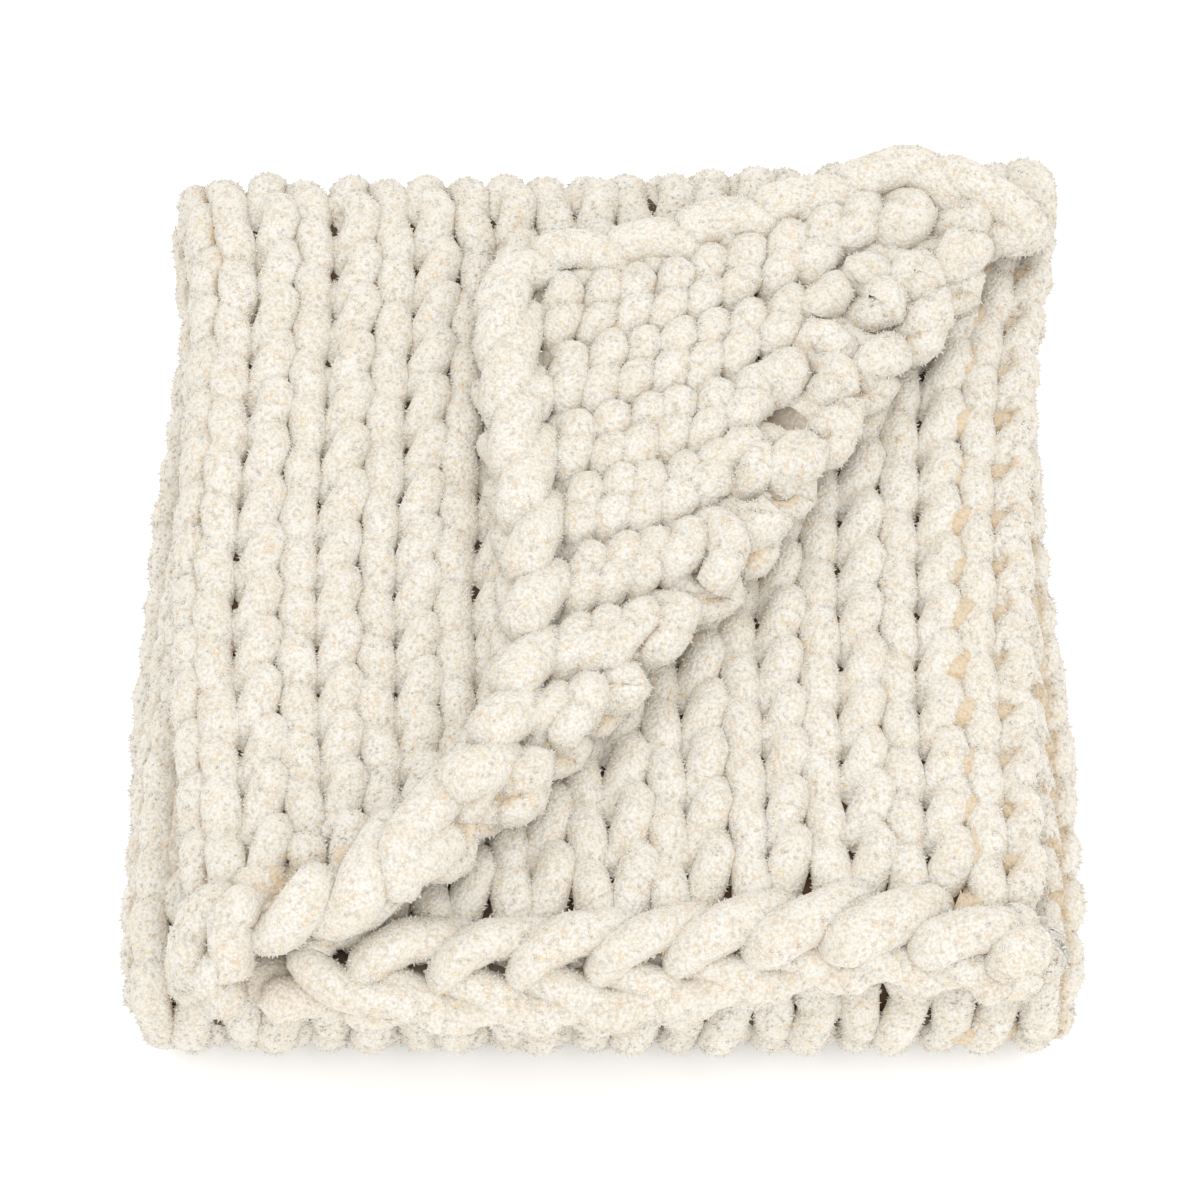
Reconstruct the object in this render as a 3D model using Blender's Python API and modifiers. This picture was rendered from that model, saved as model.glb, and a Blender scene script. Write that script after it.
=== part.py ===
"""Chunky knit blanket, folded in three both ways, with one corner of the top layer laid back.

The cloth is worked out flat first: a grid with a thickness, ribbed as the knit columns are. Every
point of that flat cloth then has a place across the cloth (u), along it (v) and through it (w), and
the folds are functions of those three. Metres, +Z up, +Y to the back.
"""
import bpy
import numpy as np

# Yarn and knit
COLUMN = 0.021                  # width of one knit column; a stitch is two columns wide
THICK = 0.0145                  # cloth thickness over the columns
PITCH = 0.0155                  # height from one folded layer to the next
GROOVE = 0.0050                 # depth of the groove between two knit columns
HEM = 0.042                     # width of the braided hem
LINK_GROOVE = 0.0055            # depth of the groove between two links of the hem braid
LINK_LEAN = 0.9                 # how far a hem link leans along the hem, per metre of hem width
ROW = 0.0288                    # height of one row of stitches
PURL_GROOVE = 0.0045            # depth of the groove between two rows on the purl side
EDGE_ROUND = 0.0035             # how far a free edge draws in from each face

# The fold across the width, at its nominal size: x of the straight stretches' ends
TOP_EDGE_X = 0.232              # side edge of the top layer, at the right
LEFT_TURN_X = -0.199            # axis of the left fold, top layer to lowest layer
RIGHT_TURN_X = 0.217            # axis of the right fold, lowest layer to middle layer
INNER_EDGE_X = -0.172           # side edge of the middle layer, inside the left fold

# The fold along the length: y of the fold axes and the ends, for the middle layer
FRONT_HEM_Y = -0.204
BACK_TURN_Y = 0.241
FRONT_TURN_Y = -0.163
LOWER_HEM_Y = 0.262
PRESSED = 0.0003                # the underside is pressed flat on the surface by this much
HEM_DROOP = 0.006               # the upper hems stand out over the front fold and hang this much
HEM_PULL = 0.4                  # share of the front-to-back length over which the hem table fades out

# Layer counted upwards from the floor, in pitches, of the middle layer of each section
TOP_LEVEL = 7.5
MIDDLE_LEVEL = 4.5
LOWER_LEVEL = 1.5

# Outer reach of the pile to the left and right along the cloth's length.
# share of the length: 0 the upper hem, 1 the lower hem.
SIDES = [
    # (share, left, right)
    (0.00, -0.203, 0.224),
    (0.06, -0.213, 0.224),
    (0.14, -0.223, 0.226),
    (0.24, -0.223, 0.236),
    (0.31, -0.227, 0.252),
    (0.35, -0.243, 0.248),
    (0.38, -0.237, 0.244),
    (0.42, -0.232, 0.240),
    (0.52, -0.239, 0.243),
    (0.64, -0.247, 0.247),
    (0.70, -0.244, 0.242),
    (0.75, -0.249, 0.252),
    (0.79, -0.253, 0.255),
    (0.86, -0.251, 0.247),
    (0.92, -0.247, 0.246),
    (1.00, -0.238, 0.248),
]

# How far back from FRONT_HEM_Y the upper hem of each layer lies
UPPER_HEMS = [
    # (x, top layer, middle layer, lowest layer)
    (-0.215, 0.008, -0.006, 0.013),
    (-0.195, 0.008, -0.008, 0.013),
    (-0.165, 0.008, -0.009, 0.003),
    (-0.120, 0.008, -0.010, -0.008),
    (-0.070, 0.008, -0.008, -0.015),
    (0.000, 0.008, -0.004, -0.016),
    (0.040, 0.008, 0.002, -0.012),
    (0.080, 0.008, 0.008, 0.000),
    (0.120, 0.008, 0.011, 0.010),
    (0.165, 0.008, 0.009, 0.012),
    (0.195, 0.008, 0.001, 0.010),
    (0.225, 0.008, -0.006, 0.008),
]

# Line over which the front right corner of the top layer is turned back, seen from above
TURN_LINE = [
    # (x, y)
    (-0.2145, -0.2010),
    (-0.2000, -0.1880),
    (-0.1690, -0.1730),
    (-0.1220, -0.1610),
    (-0.0940, -0.1490),
    (-0.0700, -0.1330),
    (-0.0466, -0.1100),
    (-0.0106, -0.0680),
    (0.0300, -0.0180),
    (0.0664, 0.0240),
    (0.1054, 0.0840),
    (0.1370, 0.1300),
    (0.1775, 0.1830),
    (0.2100, 0.2280),
    (0.2350, 0.2450),
    (0.2480, 0.2510),
]
SET_BACK = 0.030                # the top layer lies this much further back at its side edge
SET_BACK_CURVE = 1.3            # power by which that grows from the left fold to the side edge
TURN_RADIUS = 0.0095            # of the cloth's middle where the corner rolls over
SETTLE = 0.070                  # past the roll, the corner comes down onto the layer below in this length
LAY_GAP = 0.0006                # the turned corner comes down to the thickness of the layers less this

# Where the hem of the turned corner lies, by the length along the hem from its left end
CORNER_HEM = [
    # (along, x, y)
    (0.0000, -0.2060, -0.2000),
    (0.0400, -0.1740, -0.1750),
    (0.0800, -0.1400, -0.1560),
    (0.1200, -0.1060, -0.1330),
    (0.1650, -0.0730, -0.1040),
    (0.2050, -0.0530, -0.0690),
    (0.2450, -0.0450, -0.0300),
    (0.2910, -0.0440, 0.0150),
    (0.3420, -0.0500, 0.0640),
    (0.3930, -0.0560, 0.1150),
    (0.4470, -0.0610, 0.1730),
]

# How far the side edge of the turned corner bows out from a straight line, towards the back.
# share: 0 at the turn line, 1 at the tip. It also bows to the left, by a part of that.
BOW_START_X = 0.020             # columns to the left of this do not bow
BOW_LEFT = 0.25
CORNER_BOW = [
    # (share, back)
    (0.00, 0.000),
    (0.07, 0.035),
    (0.19, 0.044),
    (0.27, 0.044),
    (0.42, 0.044),
    (0.51, 0.043),
    (0.69, 0.043),
    (0.84, 0.047),
    (0.94, 0.031),
    (1.00, 0.000),
]

# How much further back the back fold lies towards the right
BACK_REACH = [
    # (x, back)
    (-0.250, 0.006),
    (-0.020, 0.007),
    (0.020, 0.009),
    (0.055, 0.011),
    (0.105, 0.013),
    (0.160, 0.014),
    (0.250, 0.013),
]

# How closely the flat cloth is cut into cells before it is folded
RIB_CELLS = 3                   # cells across a knit column where the columns show
CORNER_STEP = ROW / 2           # along the cloth, where the corner is turned
BACK_CELLS = 9                  # along the cloth, on the back turn and what is set back onto it
TURN_CELLS = 8                  # along the cloth, on the front turn
FLAT_ANGLE = 1.1                # degrees; cells that differ less than this are joined
FADE = 0.050                    # the columns fade out over this length where they are hidden
SLOPE_STEP = 0.004              # half the length over which the slope of the turn line is taken
FLAT_THICK = 0.1                # thickness of the flat grid, before its two faces are shaped

LEFT_ARC = np.pi * PITCH
RIGHT_ARC = np.pi * PITCH / 2
TURN_ARC = np.pi * 1.5 * PITCH

# Ends of the stretches across the cloth, measured from the side edge of the top layer
U_LEFT = TOP_EDGE_X - LEFT_TURN_X
U_LOWEST = U_LEFT + LEFT_ARC
U_RIGHT = U_LOWEST + RIGHT_TURN_X - LEFT_TURN_X
U_MIDDLE = U_RIGHT + RIGHT_ARC
U_END = U_MIDDLE + RIGHT_TURN_X - INNER_EDGE_X

# Ends of the stretches along the cloth, measured from the upper hem
V_BACK = BACK_TURN_Y - FRONT_HEM_Y
V_SECOND = V_BACK + TURN_ARC
V_FRONT = V_SECOND + BACK_TURN_Y - FRONT_TURN_Y
V_LOWER = V_FRONT + TURN_ARC
V_END = V_LOWER + LOWER_HEM_Y - FRONT_TURN_Y


def column(table, place):
    """One column of a short table as an array."""
    return np.array([row[place] for row in table])


def eased(share):
    """0 to 1, slow at both ends."""
    t = np.clip(share, 0.0, 1.0)
    return t * t * (3.0 - 2.0 * t)


def smooth_table(at, table, place):
    """A column of a table between its rows, on a curve through them with no corners."""
    x, y = column(table, 0), column(table, place)
    slope = np.gradient(y, x)
    i = np.clip(np.searchsorted(x, at) - 1, 0, len(x) - 2)
    step = x[i + 1] - x[i]
    t = np.clip((at - x[i]) / step, 0.0, 1.0)
    a = (1 + 2 * t) * (1 - t) ** 2 * y[i] + t * (1 - t) ** 2 * step * slope[i]
    return a + t * t * (3 - 2 * t) * y[i + 1] + t * t * (t - 1) * step * slope[i + 1]


def across(u, lift):
    """The fold in three across the width: x, and height from the middle layer, of a point.

    lift is the distance from the cloth's middle towards its knit side. The knit side is the outside
    of both folds.
    """
    left_turn = np.pi / 2 + (u - U_LEFT) / PITCH
    right_turn = -np.pi / 2 + (u - U_RIGHT) / (PITCH / 2)
    stretch = [u < U_LEFT, u < U_LOWEST, u < U_RIGHT, u < U_MIDDLE]
    x = np.select(stretch, [
        TOP_EDGE_X - u,
        LEFT_TURN_X + (PITCH + lift) * np.cos(left_turn),
        LEFT_TURN_X + u - U_LOWEST,
        RIGHT_TURN_X + (PITCH / 2 + lift) * np.cos(right_turn),
    ], RIGHT_TURN_X - (u - U_MIDDLE))
    height = np.select(stretch, [
        PITCH + lift,
        (PITCH + lift) * np.sin(left_turn),
        -PITCH - lift,
        -PITCH / 2 + (PITCH / 2 + lift) * np.sin(right_turn),
    ], lift)
    return x, height


def along(v, height):
    """The fold in three along the length: y and z of a point at a height from the middle layer."""
    back_turn = np.pi / 2 - (v - V_BACK) / (1.5 * PITCH)
    front_turn = np.pi / 2 + (v - V_FRONT) / (1.5 * PITCH)
    back_axis = (TOP_LEVEL + MIDDLE_LEVEL) / 2 * PITCH
    front_axis = (MIDDLE_LEVEL + LOWER_LEVEL) / 2 * PITCH
    outer, inner = 1.5 * PITCH + height, 1.5 * PITCH - height
    stretch = [v < V_BACK, v < V_SECOND, v < V_FRONT, v < V_LOWER]
    y = np.select(stretch, [
        FRONT_HEM_Y + v,
        BACK_TURN_Y + outer * np.cos(back_turn),
        BACK_TURN_Y - (v - V_SECOND),
        FRONT_TURN_Y + inner * np.cos(front_turn),
    ], FRONT_TURN_Y + v - V_LOWER)
    z = np.select(stretch, [
        TOP_LEVEL * PITCH + height,
        back_axis + outer * np.sin(back_turn),
        MIDDLE_LEVEL * PITCH - height,
        front_axis + inner * np.sin(front_turn),
    ], LOWER_LEVEL * PITCH + height)
    return y, z


def drawn_back(u, v):
    """Where v lies along the fold: the top layer is drawn back, more towards its side edge.

    The hidden middle section of that layer takes the difference up.
    """
    share = np.clip(1.0 - u / U_LEFT, 0.0, 1.0) ** SET_BACK_CURVE
    return v + SET_BACK * share * (1.0 - eased((v - V_SECOND) / (V_FRONT - V_SECOND)))


def folded(u, v, lift):
    """The place of a point of the cloth once it is folded both ways, before the corner is turned."""
    x, height = across(u, lift)
    at = drawn_back(u, v)
    y, z = along(at, height)
    reach = THICK / 2 + PITCH
    share = at / V_END
    left, right = smooth_table(share, SIDES, 1), smooth_table(share, SIDES, 2)
    nominal_left, nominal_right = LEFT_TURN_X - reach, RIGHT_TURN_X + reach - PITCH / 2
    x = left + (x - nominal_left) * (right - left) / (nominal_right - nominal_left)
    level = height / PITCH
    upper, lower = np.clip(level, 0.0, 1.0), np.clip(-level, 0.0, 1.0)
    back = (upper * smooth_table(x, UPPER_HEMS, 1) + lower * smooth_table(x, UPPER_HEMS, 3)
            + (1.0 - upper - lower) * smooth_table(x, UPPER_HEMS, 2))
    y = y + back * (1.0 - eased(v / (HEM_PULL * V_BACK)))
    near_back = np.where(at < V_SECOND, eased(2.0 * at / V_BACK - 1.0),
                         1.0 - eased(2.0 * (at - V_SECOND) / (V_FRONT - V_SECOND)))
    y = y + near_back * smooth_table(x, BACK_REACH, 1)
    z = z - HEM_DROOP * np.clip(1.0 - v / HEM, 0.0, 1.0) ** 2
    return x, y, z


def turned_corner(u, v, lift):
    """The front right corner of the top layer, rolled over the turn line and laid on the layer.

    A column of the cloth runs up to the turn line, goes round the roll in a slanting arc, and then
    runs straight to the place that the hem table gives it.
    """
    x, y, z = folded(u, v, lift)
    foot_x, foot_y, foot_z = folded(u, v, np.zeros_like(u))
    hem_x, hem_y, hem_z = folded(u, np.zeros_like(v), np.zeros_like(u))
    line = smooth_table(foot_x, TURN_LINE, 1)
    slope = (smooth_table(foot_x + SLOPE_STEP, TURN_LINE, 1)
             - smooth_table(foot_x - SLOPE_STEP, TURN_LINE, 1)) / (2 * SLOPE_STEP)
    angle = np.arctan(slope)
    run = line - foot_y
    whole = np.maximum(line - hem_y, 1e-6)
    rolled = np.pi * TURN_RADIUS / np.cos(angle)
    turn = np.minimum(run, rolled) * np.cos(angle) / TURN_RADIUS
    slide = np.minimum(run, rolled) * np.sin(angle)
    out = (TURN_RADIUS - lift) * np.sin(turn)
    roll_x = foot_x - slide * np.cos(angle) + out * np.sin(angle)
    roll_y = line - slide * np.sin(angle) - out * np.cos(angle)
    top = (TOP_LEVEL + 1) * PITCH
    roll_z = top + TURN_RADIUS - (TURN_RADIUS - lift) * np.cos(turn)
    past = run - rolled
    share = np.clip(past / np.maximum(whole - rolled, 1e-3), 0.0, 1.0)
    from_left = foot_x - (LEFT_TURN_X - PITCH)
    goal_x = smooth_table(from_left, CORNER_HEM, 1)
    goal_y = smooth_table(from_left, CORNER_HEM, 2)
    towards_edge = eased((foot_x - BOW_START_X) / (TOP_EDGE_X - BOW_START_X))
    bow = smooth_table(share, CORNER_BOW, 1) * towards_edge
    settled = eased(past / SETTLE) * (2 * TURN_RADIUS - PITCH - LAY_GAP)
    flat_x = roll_x + share * (goal_x - roll_x) - BOW_LEFT * bow
    flat_y = roll_y + share * (goal_y - roll_y) + bow
    over = past > 0
    new_x, new_y = np.where(over, flat_x, roll_x), np.where(over, flat_y, roll_y)
    new_z = np.where(over, roll_z - settled, roll_z)
    corner = (u < U_LEFT) & (drawn_back(u, v) < V_BACK + TURN_ARC / 4) & (run > 0)
    return np.where(corner, new_x, x), np.where(corner, new_y, y), np.where(corner, new_z, z)


def past_turn_line(u, v):
    """How far a point of the upper section lies in front of the corner's turn line, seen from above."""
    x, y, z = folded(u, v, np.zeros_like(u))
    return smooth_table(x, TURN_LINE, 1) - y


def showing(u, v):
    """1 where the knit columns show on the folded blanket, 0 where they are hidden between layers."""
    past = past_turn_line(u, v)
    at = drawn_back(u, v)
    top = (1.0 - eased((at - V_SECOND) / FADE)) * np.where(at < V_BACK, 1.0 - eased(past / ROW), 1.0)
    lowest = eased((v - V_FRONT + FADE) / FADE) * (1.0 - eased((v - V_LOWER) / FADE))
    middle = np.where(v < V_BACK, eased((past + ROW) / ROW), 0.0)
    return np.select([u < U_LEFT, u < U_LOWEST, u < U_RIGHT, u < U_MIDDLE],
                     [top, 1.0, lowest, 1.0], middle)


def cloth_faces(u, v):
    """Lift of the purl face and of the knit face from the cloth's middle."""
    groove = GROOVE * (1.0 - np.minimum(1.0, 3.0 * np.abs(u / COLUMN - np.round(u / COLUMN))))
    knit = THICK / 2 - groove * showing(u, v)
    links = (u + LINK_LEAN * v) / (2 * COLUMN)
    link = LINK_GROOVE * (1.0 - np.minimum(1.0, 3.0 * np.abs(links - np.round(links))))
    in_hem = v < HEM - 1e-6
    border = np.isclose(v, HEM)
    knit = np.where(in_hem, THICK / 2 - link, np.where(border, THICK / 2 - GROOVE, knit))
    rows = (v - HEM) / ROW
    between = 1.0 - 2.0 * np.abs(rows - np.round(rows))
    turned = np.where((u < U_LEFT) & (drawn_back(u, v) < V_BACK),
                      eased(past_turn_line(u, v) / CORNER_STEP), 0.0)
    purl = -THICK / 2 + PURL_GROOVE * turned * between
    purl = np.where(in_hem & (u < U_LEFT), -THICK / 2 + link, purl)
    rim = (u < 1e-6) | (u > U_END - 1e-6) | (v < 1e-6) | (v > V_END - 1e-6)
    knit = np.where(rim, np.minimum(knit, THICK / 2 - EDGE_ROUND), knit)
    purl = np.where(rim, np.maximum(purl, -THICK / 2 + EDGE_ROUND), purl)
    return purl, knit


def steps(start, end, size):
    """Cuts from start up to end, at whole numbers of size, without a sliver at either end."""
    cuts = np.arange(np.ceil(start / size), np.floor(end / size) + 1) * size
    return cuts[(cuts > start + size / 3) & (cuts < end - size / 3)]


def cuts_across():
    return np.concatenate([[0.0], steps(0.0, U_END, COLUMN / RIB_CELLS), [U_END]])


def cuts_along():
    """Close where the corner turns and on both length turns, and wide on the hidden stretches."""
    return np.concatenate([
        [0.0, HEM / 4, HEM / 2, HEM * 3 / 4, HEM],
        HEM + steps(0.0, V_BACK - SET_BACK - HEM, CORNER_STEP),
        np.linspace(V_BACK - SET_BACK, V_SECOND, BACK_CELLS, endpoint=False),
        np.linspace(V_SECOND, V_SECOND + FADE, 2, endpoint=False),
        [V_SECOND + FADE, (V_SECOND + V_FRONT) / 2],
        np.linspace(V_FRONT - FADE, V_FRONT, 2, endpoint=False),
        np.linspace(V_FRONT, V_LOWER, TURN_CELLS, endpoint=False),
        np.linspace(V_LOWER, V_LOWER + FADE, 2, endpoint=False),
        [V_LOWER + FADE, (V_LOWER + V_END) / 2],
        [V_END - HEM / 4, V_END],
    ])


def flat_cloth(name, across_cuts, along_cuts):
    """A grid with one cell between each two cuts, given two faces and a rim."""
    bpy.ops.mesh.primitive_grid_add(
        x_subdivisions=len(across_cuts) - 1, y_subdivisions=len(along_cuts) - 1, size=1.0)
    cloth = bpy.context.object
    cloth.name = name
    cloth.data.name = name
    sheet = cloth.modifiers.new("Two faces", "SOLIDIFY")
    sheet.thickness = FLAT_THICK
    sheet.offset = 1.0
    bpy.ops.object.modifier_apply(modifier=sheet.name)
    return cloth


def fold_cloth(cloth, across_cuts, along_cuts):
    """Moves every point of the flat cloth to its place in the folded blanket."""
    points = np.zeros(len(cloth.data.vertices) * 3)
    cloth.data.vertices.foreach_get("co", points)
    points = points.reshape(-1, 3)
    i = np.round((points[:, 0] + 0.5) * (len(across_cuts) - 1)).astype(int)
    j = np.round((points[:, 1] + 0.5) * (len(along_cuts) - 1)).astype(int)
    u, v = across_cuts[i], along_cuts[j]
    purl, knit = cloth_faces(u, v)
    lift = np.where(points[:, 2] > FLAT_THICK / 2, knit, purl)
    x, y, z = turned_corner(u, v, lift)
    places = np.stack([x, y, z], axis=1)
    middle = (places.min(axis=0) + places.max(axis=0)) / 2
    places -= [middle[0], middle[1], places[:, 2].min() + PRESSED]
    places[:, 2] = np.maximum(places[:, 2], 0.0)
    cloth.data.vertices.foreach_set("co", places.ravel())
    cloth.data.flip_normals()
    cloth.data.update()
    print("shift", middle[:2], "box", places.min(axis=0), places.max(axis=0))


def simplify(cloth):
    """Joins the cells of flat stretches, and cuts what is left into triangles."""
    joined = cloth.modifiers.new("Flat stretches", "DECIMATE")
    joined.decimate_type = "DISSOLVE"
    joined.angle_limit = np.radians(FLAT_ANGLE)
    cut = cloth.modifiers.new("Triangles", "TRIANGULATE")
    for modifier in (joined, cut):
        bpy.ops.object.modifier_apply(modifier=modifier.name)


def chenille():
    """Cream chenille yarn."""
    material = bpy.data.materials.new("Cream chenille")
    material.use_nodes = True
    shader = material.node_tree.nodes["Principled BSDF"]
    shader.inputs["Base Color"].default_value = (0.80, 0.74, 0.64, 1.0)
    shader.inputs["Roughness"].default_value = 0.95
    return material


for old in list(bpy.data.objects):
    bpy.data.objects.remove(old, do_unlink=True)

u_cuts, v_cuts = cuts_across(), cuts_along()
blanket = flat_cloth("blanket", u_cuts, v_cuts)
fold_cloth(blanket, u_cuts, v_cuts)
simplify(blanket)
blanket.data.materials.append(chenille())
print("cells", (len(u_cuts) - 1) * (len(v_cuts) - 1), "triangles", len(blanket.data.polygons))
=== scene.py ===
"""The looks of the folded chunky knit blanket, stitch by stitch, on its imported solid.

Every strand of yarn is a centre line in the flat cloth's own coordinates: u across the cloth, v along
it and lift through it, towards the knit side. A round of points stands about each centre line, and
the folds of the part's source carry all of them to their places in the folded blanket. Metres, +Z up.
"""

import bpy
import numpy as np
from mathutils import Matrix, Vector


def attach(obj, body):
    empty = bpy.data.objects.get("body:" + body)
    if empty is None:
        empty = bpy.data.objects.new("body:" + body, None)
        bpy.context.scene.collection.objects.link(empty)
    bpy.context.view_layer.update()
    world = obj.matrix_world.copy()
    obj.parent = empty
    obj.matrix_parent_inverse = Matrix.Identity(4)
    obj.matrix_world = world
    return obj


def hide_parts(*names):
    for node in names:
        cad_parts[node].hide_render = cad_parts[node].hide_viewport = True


# Sizes of the cloth and its folds, as in the part's source
COLUMN, THICK, PITCH, HEM, ROW = 0.021, 0.0145, 0.0155, 0.042, 0.0288
TOP_EDGE_X, LEFT_TURN_X, RIGHT_TURN_X, INNER_EDGE_X = 0.232, -0.199, 0.217, -0.172
FRONT_HEM_Y, BACK_TURN_Y, FRONT_TURN_Y, LOWER_HEM_Y = -0.204, 0.241, -0.163, 0.262
HEM_DROOP, TOP_LEVEL, MIDDLE_LEVEL, LOWER_LEVEL = 0.006, 7.5, 4.5, 1.5
SET_BACK, SET_BACK_CURVE, HEM_PULL = 0.030, 1.3, 0.4
TURN_RADIUS, SETTLE, LAY_GAP, SLOPE_STEP = 0.0095, 0.070, 0.0006, 0.004
BOW_START_X, BOW_LEFT = 0.020, 0.25
SHIFT = np.array([0.00024798, 0.04001149, 0.0008])    # the part stands centred on the row's origin

# Outer reach of the pile to the left and right along the cloth's length: share, left, right
SIDES = [
    (0.00, -0.203, 0.224), (0.06, -0.213, 0.224), (0.14, -0.223, 0.226), (0.24, -0.223, 0.236),
    (0.31, -0.227, 0.252), (0.35, -0.243, 0.248), (0.38, -0.237, 0.244), (0.42, -0.232, 0.240),
    (0.52, -0.239, 0.243), (0.64, -0.247, 0.247), (0.70, -0.244, 0.242), (0.75, -0.249, 0.252),
    (0.79, -0.253, 0.255), (0.86, -0.251, 0.247), (0.92, -0.247, 0.246), (1.00, -0.238, 0.248),
]

# How far back the upper hem of each layer lies: x, top layer, middle layer, lowest layer
UPPER_HEMS = [
    (-0.215, 0.008, -0.006, 0.013), (-0.195, 0.008, -0.008, 0.013), (-0.165, 0.008, -0.009, 0.003),
    (-0.120, 0.008, -0.010, -0.008), (-0.070, 0.008, -0.008, -0.015), (0.000, 0.008, -0.004, -0.016),
    (0.040, 0.008, 0.002, -0.012), (0.080, 0.008, 0.008, 0.000), (0.120, 0.008, 0.011, 0.010),
    (0.165, 0.008, 0.009, 0.012), (0.195, 0.008, 0.001, 0.010), (0.225, 0.008, -0.006, 0.008),
]

# Line over which the front right corner of the top layer is turned back: x, y
TURN_LINE = [
    (-0.2145, -0.2010), (-0.2000, -0.1880), (-0.1690, -0.1730), (-0.1220, -0.1610),
    (-0.0940, -0.1490), (-0.0700, -0.1330), (-0.0466, -0.1100), (-0.0106, -0.0680),
    (0.0300, -0.0180), (0.0664, 0.0240), (0.1054, 0.0840), (0.1370, 0.1300),
    (0.1775, 0.1830), (0.2100, 0.2280), (0.2350, 0.2450), (0.2480, 0.2510),
]

# Where the hem of the turned corner lies: length along the hem, x, y
CORNER_HEM = [
    (0.0000, -0.2060, -0.2000), (0.0400, -0.1740, -0.1750), (0.0800, -0.1400, -0.1560),
    (0.1200, -0.1060, -0.1330), (0.1650, -0.0730, -0.1040), (0.2050, -0.0530, -0.0690),
    (0.2450, -0.0450, -0.0300), (0.2910, -0.0440, 0.0150), (0.3420, -0.0500, 0.0640),
    (0.3930, -0.0560, 0.1150), (0.4470, -0.0610, 0.1730),
]

# How far the side edge of the turned corner bows out: share from the turn line to the tip, back
CORNER_BOW = [
    (0.00, 0.000), (0.07, 0.035), (0.19, 0.044), (0.27, 0.044), (0.42, 0.044),
    (0.51, 0.043), (0.69, 0.043), (0.84, 0.047), (0.94, 0.031), (1.00, 0.000),
]

# How much further back the back fold lies towards the right: x, back
BACK_REACH = [
    (-0.250, 0.006), (-0.020, 0.007), (0.020, 0.009), (0.055, 0.011),
    (0.105, 0.013), (0.160, 0.014), (0.250, 0.013),
]

TURN_ARC = np.pi * 1.5 * PITCH
U_LEFT = TOP_EDGE_X - LEFT_TURN_X
U_LOWEST = U_LEFT + np.pi * PITCH
U_RIGHT = U_LOWEST + RIGHT_TURN_X - LEFT_TURN_X
U_MIDDLE = U_RIGHT + np.pi * PITCH / 2
U_END = U_MIDDLE + RIGHT_TURN_X - INNER_EDGE_X
V_BACK = BACK_TURN_Y - FRONT_HEM_Y
V_SECOND = V_BACK + TURN_ARC
V_FRONT = V_SECOND + BACK_TURN_Y - FRONT_TURN_Y
V_LOWER = V_FRONT + TURN_ARC
V_END = V_LOWER + LOWER_HEM_Y - FRONT_TURN_Y

# The yarn and its loops
STITCH = 2 * COLUMN             # a stitch is two columns wide: its two legs
TURNED_STITCH = 0.0370          # about the width of a stitch on the turned corner, which is drawn tighter
YARN_WIDE, YARN_DEEP = 0.0107, 0.0088      # half axes of the pressed yarn in the fabric
LEG_REACH = 0.0235              # from the middle of a row to the end of a leg
PURL_REACH = 0.0190             # the same on the purl side, where a head lies next to the foot before it

# How a loop lies where the knit side shows and where the purl side shows. level: lift of the row.
# spread: how much the legs open towards the head. lean: twist, so that left legs lean and right legs
# stand up. depth: how far the legs stand out to the knit side and the head and foot to the purl side.
# rise: how far a loop's foot lies over the head before it. twist: one end of each leg over the other.
KNIT = {"level": -0.0054, "spread": 0.0074, "lean": 0.0038, "depth": 0.0046, "rise": 0.0034,
        "twist": 0.0032}
PURL = {"level": 0.0034, "spread": 0.0036, "lean": 0.0000, "depth": 0.0060, "rise": 0.0002,
        "twist": -0.0030}
ROPE_WIDE = 0.017               # the rows of stitches start this far in from the side edge
EDGE_COVER = 0.0085             # the edge strands cover the body of the cloth by this much
PURL_TILT = 0.0060              # a purl oval leans this much to the right at its upper end
PURL_DEEPER = 0.0006            # the yarn is this much deeper where the purl side shows
PURL_THINNER = 0.12             # and thinner by this share, because its ovals lie closer
PURL_SWELL, PURL_HEAVY = 0.07, 0.03        # share that it swells by at head and foot, and at the head
LOOSE, LOOSE_FULLER = 0.85, 0.34           # below this share of its width a stitch is fuller, by this rate
FIRST_ROW_LOWER = 0.003         # the first row lies this much nearer the hem
PURL_BEFORE, PURL_EASE = 0.034, 0.030      # the purl lie starts this far before the turn line, over this
SPACING_POINTS = 900            # places along a row where its stitches are counted
MOST_MORE = 2                   # a turned row has at most this many stitches more than the flat one

# How far rows of stitches run on where they go out of sight
UNDER_FOLD = 0.035              # under a fold
UNDER_CORNER = 0.050            # under the turned corner
EDGE_STRIP = 0.060              # in from the side edge
FRONT_STRIP = 0.045             # round the front fold, and up from the cast on edge
BEHIND = 0.020                  # past the back fold
END_INSET = 0.010               # a row ends this far before the end of the cloth

ROUND_STEP = 0.060              # from one round of points to the next along the yarn, in stitches
SECTORS = 12                    # points of a round
ROUND_UNEVEN = 0.035            # a round departs from an oval by this share, turning along the yarn
SHADE_BELOW, SHADE_EASE = 0.62, 0.80         # painted shade is fullest below minus this sine round the strand, and fades out over this above it
EDGE_SHADE = 0.25                # the most painted shade on the undersides of the edge strands, which stand free
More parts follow.
